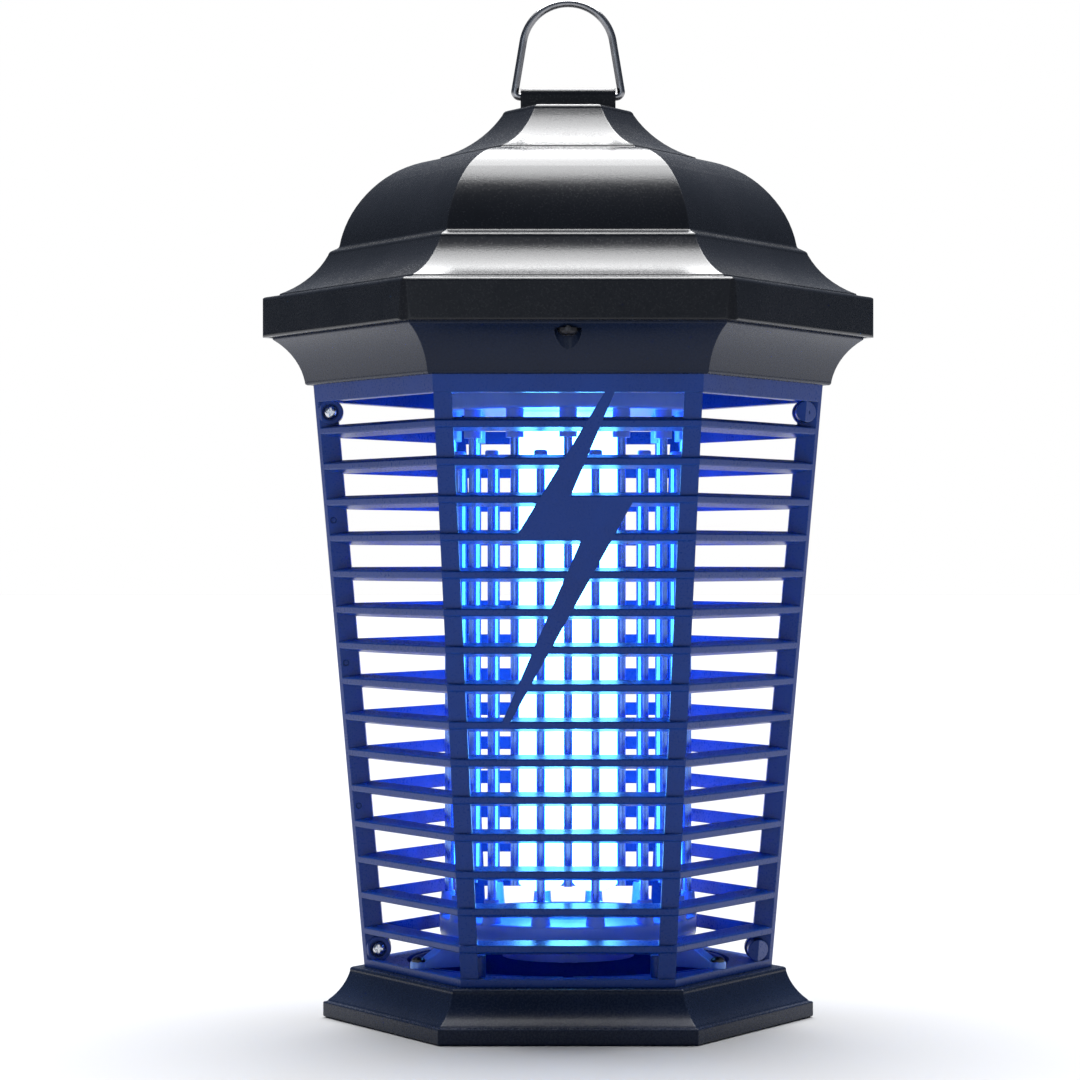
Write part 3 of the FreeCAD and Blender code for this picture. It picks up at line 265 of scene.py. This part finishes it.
def drawn_metal(name, colour, stained, roughness, along=ALONG_Z):
    """Drawn or turned metal: fine lines along its length, faint staining."""
    edge = 0.15
    scratch = 0.012
    scratch_strength = 0.8
    stain_patches = (0.42, 0.70)
    dull_patches = (0.4, 0.7)
    rubbed = 0.5
    graph = Graph(name)
    normal, rim = graph.soft_edge(edge * MM)
    lines = graph.noise(DRAWN_LINE_SCALE, stretch=along)
    stain = graph.noise(STAIN_SCALE, detail=4.0)
    base = graph.mix(graph.spread(stain, 0.0, 1.0, *stain_patches), colour, stained)
    base = graph.mix(graph.combine("MULTIPLY", rim, rubbed), base, scaled(colour, 1.25))
    line_gloss = graph.spread(lines, -0.06, 0.08)
    stain_gloss = graph.spread(stain, roughness, roughness + 0.12, *dull_patches)
    graph.shader(Base_Color=base, Roughness=graph.combine("ADD", line_gloss, stain_gloss),
                 Metallic=1.0, Normal=graph.bump(lines, scratch * MM, scratch_strength, normal))
    return graph.material


def smooth_plastic(name, colour, shade, roughness, grain=0.01, glow=0.0):
    """Smooth moulded plastic or lacquer with faint flow marks; glow lets light through it."""
    edge = 0.3
    grain_strength = 0.7
    rubbed = 0.35
    scatter_colour = (0.6, 0.8, 1.4)
    scatter_depth = 1.5
    graph = Graph(name)
    normal, rim = graph.soft_edge(edge * MM)
    flow = graph.noise(FLOW_SCALE, detail=4.0, stretch=FLOWING_DOWN)
    fine = graph.noise(FINE_SCALE)
    base = graph.mix(graph.spread(flow, 0.0, 1.0), colour, shade)
    base = graph.mix(graph.combine("MULTIPLY", rim, rubbed), base, scaled(colour, 1.2))
    rough = graph.spread(fine, roughness - 0.05, roughness + 0.06)
    surface = graph.shader(Base_Color=base, Roughness=rough, Subsurface_Weight=glow,
                           Normal=graph.bump(fine, grain * MM, grain_strength, normal))
    if glow:
        surface.inputs["Subsurface Radius"].default_value = scatter_colour
        surface.inputs["Subsurface Scale"].default_value = scatter_depth * MM
    return graph.material


def lit_glass(name):
    """Coated lamp glass, lit blue-white: dark at the cap and a little dimmer at its lower end."""
    graph = Graph(name)
    low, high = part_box("lamp_tube")
    split = graph.node("ShaderNodeSeparateXYZ")
    graph.link(graph.place, split.inputs["Vector"])
    level_at = split.outputs["Z"]
    upper = graph.spread(level_at, 1.0, 0.0, high[2] - LAMP_FADE_START, high[2] - LAMP_FADE_END)
    lower = graph.spread(level_at, LAMP_FOOT_LEVEL, 1.0, low[2], low[2] + LAMP_FOOT_HEIGHT)
    coat = graph.spread(graph.noise(COATING_SCALE), 0.88, 1.06)
    level = graph.combine("MULTIPLY", graph.combine("MULTIPLY", upper, lower), coat)
    colour = graph.mix(level, LAMP_DEEP_BLUE, LAMP_BRIGHT_BLUE)
    base = graph.mix(coat, (0.80, 0.84, 0.92), (0.86, 0.90, 0.96))
    graph.shader(Base_Color=base, Roughness=0.12, Coat_Weight=0.6, Coat_Roughness=0.04,
                 Emission_Color=colour, Emission_Strength=graph.spread(level, *LAMP_GLOW, 0.0, 1.0))
    return graph.material


MATERIALS = {
    "black_plastic": moulded_plastic("black_grain", (0.0085, 0.0095, 0.0125), (0.045, 0.047, 0.053),
                                     roughness=0.24, grain=0.014, gloss=0.29),
    "guard_plastic": moulded_plastic("guard_grain", (0.003, 0.037, 0.23), (0.012, 0.08, 0.34),
                                     roughness=0.30, grain=0.012, gloss=0.25),
    "bail_steel": drawn_metal("bail_wire", (0.30, 0.30, 0.31), (0.20, 0.20, 0.21), 0.22),
    "screw_steel": drawn_metal("zinc", (0.74, 0.75, 0.78), (0.52, 0.54, 0.60), 0.16, EVEN),
    "screw_black": drawn_metal("black_oxide", (0.055, 0.055, 0.06), (0.03, 0.03, 0.035), 0.30, EVEN),
    # Grid wire: steel with a painted blue reflection in its colour and its stains, standing in for
    # the lamp's blue light inside the cage
    "grid_steel": drawn_metal("grid_wire_painted_blue_reflection", (0.16, 0.33, 0.88), (0.12, 0.26, 0.76), 0.20),
    "holder_plastic": smooth_plastic("holder", (0.17, 0.34, 0.86), (0.13, 0.28, 0.78), 0.32,
                                     grain=0.012, glow=0.3),
    "lamp_glass": lit_glass("lit_lamp"),
    "lamp_plastic": smooth_plastic("lamp_white", (0.80, 0.80, 0.78), (0.70, 0.70, 0.67), 0.32),
    "pin_brass": drawn_metal("brass", (0.78, 0.58, 0.26), (0.50, 0.36, 0.16), 0.22),
    "board_laminate": smooth_plastic("solder_mask", (0.03, 0.16, 0.06), (0.02, 0.11, 0.04), 0.34),
    "ferrite": moulded_plastic("ferrite_grain", (0.03, 0.03, 0.033), (0.09, 0.09, 0.09),
                               roughness=0.70, grain=0.03),
    "coil_tape": smooth_plastic("tape", (0.72, 0.52, 0.06), (0.60, 0.42, 0.05), 0.28),
    "capacitor_resin": smooth_plastic("resin", (0.36, 0.05, 0.03), (0.26, 0.03, 0.02), 0.22),
    "capacitor_can": drawn_metal("can", (0.66, 0.67, 0.70), (0.50, 0.51, 0.55), 0.30, EVEN),
    "diode_black": smooth_plastic("diode", (0.02, 0.02, 0.02), (0.03, 0.03, 0.03), 0.40),
    "terminal_plastic": smooth_plastic("terminal", (0.03, 0.16, 0.36), (0.02, 0.11, 0.28), 0.38),
    "grommet_rubber": moulded_plastic("rubber_grain", (0.016, 0.016, 0.017), (0.05, 0.05, 0.05),
                                      roughness=0.62, grain=0.02),
}

# The collar and the foot: black plastic with a painted blue cast in its colour, standing in for the
# light of the lit cage between them
BLACK_WITH_PAINTED_BLUE_CAST = moulded_plastic("black_grain_painted_blue_cast", (0.006, 0.0115, 0.030), (0.036, 0.046, 0.078),
                             roughness=0.27, grain=0.014, gloss=0.19)
OWN_MATERIAL = {"collar": BLACK_WITH_PAINTED_BLUE_CAST, "base": BLACK_WITH_PAINTED_BLUE_CAST}


def dress_cad_nodes():
    for name, obj in NODES.items():
        material = OWN_MATERIAL.get(name, MATERIALS[SLOT_OF[name]])
        if not obj.material_slots:
            obj.data.materials.append(material)
        for place in obj.material_slots:
            place.material = material


# ------------------------------------------------------------------ stage

def add_object(name, data):
    obj = bpy.data.objects.new(name, data)
    bpy.context.collection.objects.link(obj)
    return obj


def make_floor():
    mesh = bpy.data.meshes.new("floor")
    work = bmesh.new()
    bmesh.ops.create_grid(work, x_segments=FLOOR_CELLS, y_segments=FLOOR_CELLS, size=FLOOR_HALF_SIDE)
    work.to_mesh(mesh)
    work.free()
    floor = add_object("floor", mesh)
    floor.location = (0, 0, LOW.z - FLOOR_GAP)
    graph = Graph("pale_floor")
    tone = graph.mix(graph.spread(graph.noise(FLOOR_SCALE, roughness=0.5), 0.0, 1.0), *FLOOR_TONES)
    graph.shader(Base_Color=tone, Roughness=FLOOR_ROUGHNESS, Specular_IOR_Level=FLOOR_GLOSS)
    mesh.materials.append(graph.material)


def make_sun():
    sun = bpy.data.lights.new("overhead", "SUN")
    sun.energy = SUN_ENERGY
    sun.angle = math.radians(SUN_WIDTH_DEG)
    holder = add_object("overhead", sun)
    holder.rotation_euler = (math.radians(SUN_TILT_DEG), 0, 0)


def make_fills():
    for name, (side, power) in FILL_SIDES.items():
        light = bpy.data.lights.new(name, "AREA")
        light.shape = "RECTANGLE"
        light.size, light.size_y = FILL_SIZE
        light.energy = power
        light.color = FILL_COLOUR
        holder = add_object(name, light)
        holder.location = (side * FILL_ASIDE, -FILL_BEFORE, FILL_HEIGHT)
        aim = Vector(FILL_TARGET) - holder.location
        holder.rotation_euler = aim.to_track_quat("-Z", "Y").to_euler()


def background(nodes, colour, strength):
    made = nodes.new("ShaderNodeBackground")
    made.inputs["Color"].default_value = colour
    made.inputs["Strength"].default_value = strength
    return made.outputs["Background"]


def make_world():
    world = bpy.data.worlds.new("studio")
    bpy.context.scene.world = world
    world.use_nodes = True
    nodes = world.node_tree.nodes
    links = world.node_tree.links
    nodes.clear()
    output = nodes.new("ShaderNodeOutputWorld")
    path = nodes.new("ShaderNodeLightPath")
    choose = nodes.new("ShaderNodeMixShader")
    links.new(path.outputs["Is Camera Ray"], choose.inputs["Fac"])
    links.new(background(nodes, ROOM_COLOUR, ROOM_STRENGTH), choose.inputs[1])
    links.new(background(nodes, BACKDROP_COLOUR, BACKDROP_STRENGTH), choose.inputs[2])
    links.new(choose.outputs["Shader"], output.inputs["Surface"])
    bpy.context.scene.view_settings.view_transform = "Standard"


def make_camera():
    data = bpy.data.cameras.new("camera")
    data.lens = CAMERA_LENS
    data.sensor_width = CAMERA_SENSOR
    data.shift_x, data.shift_y = CAMERA_SHIFT
    data.clip_end = CAMERA_REACH
    camera = add_object("camera", data)
    camera.location = (0, -CAMERA_DISTANCE, CAMERA_HEIGHT)
    camera.rotation_euler = (math.radians(90), 0, 0)
    bpy.context.scene.camera = camera


dress_cad_nodes()
make_floor()
make_sun()
make_fills()
make_world()
make_camera()
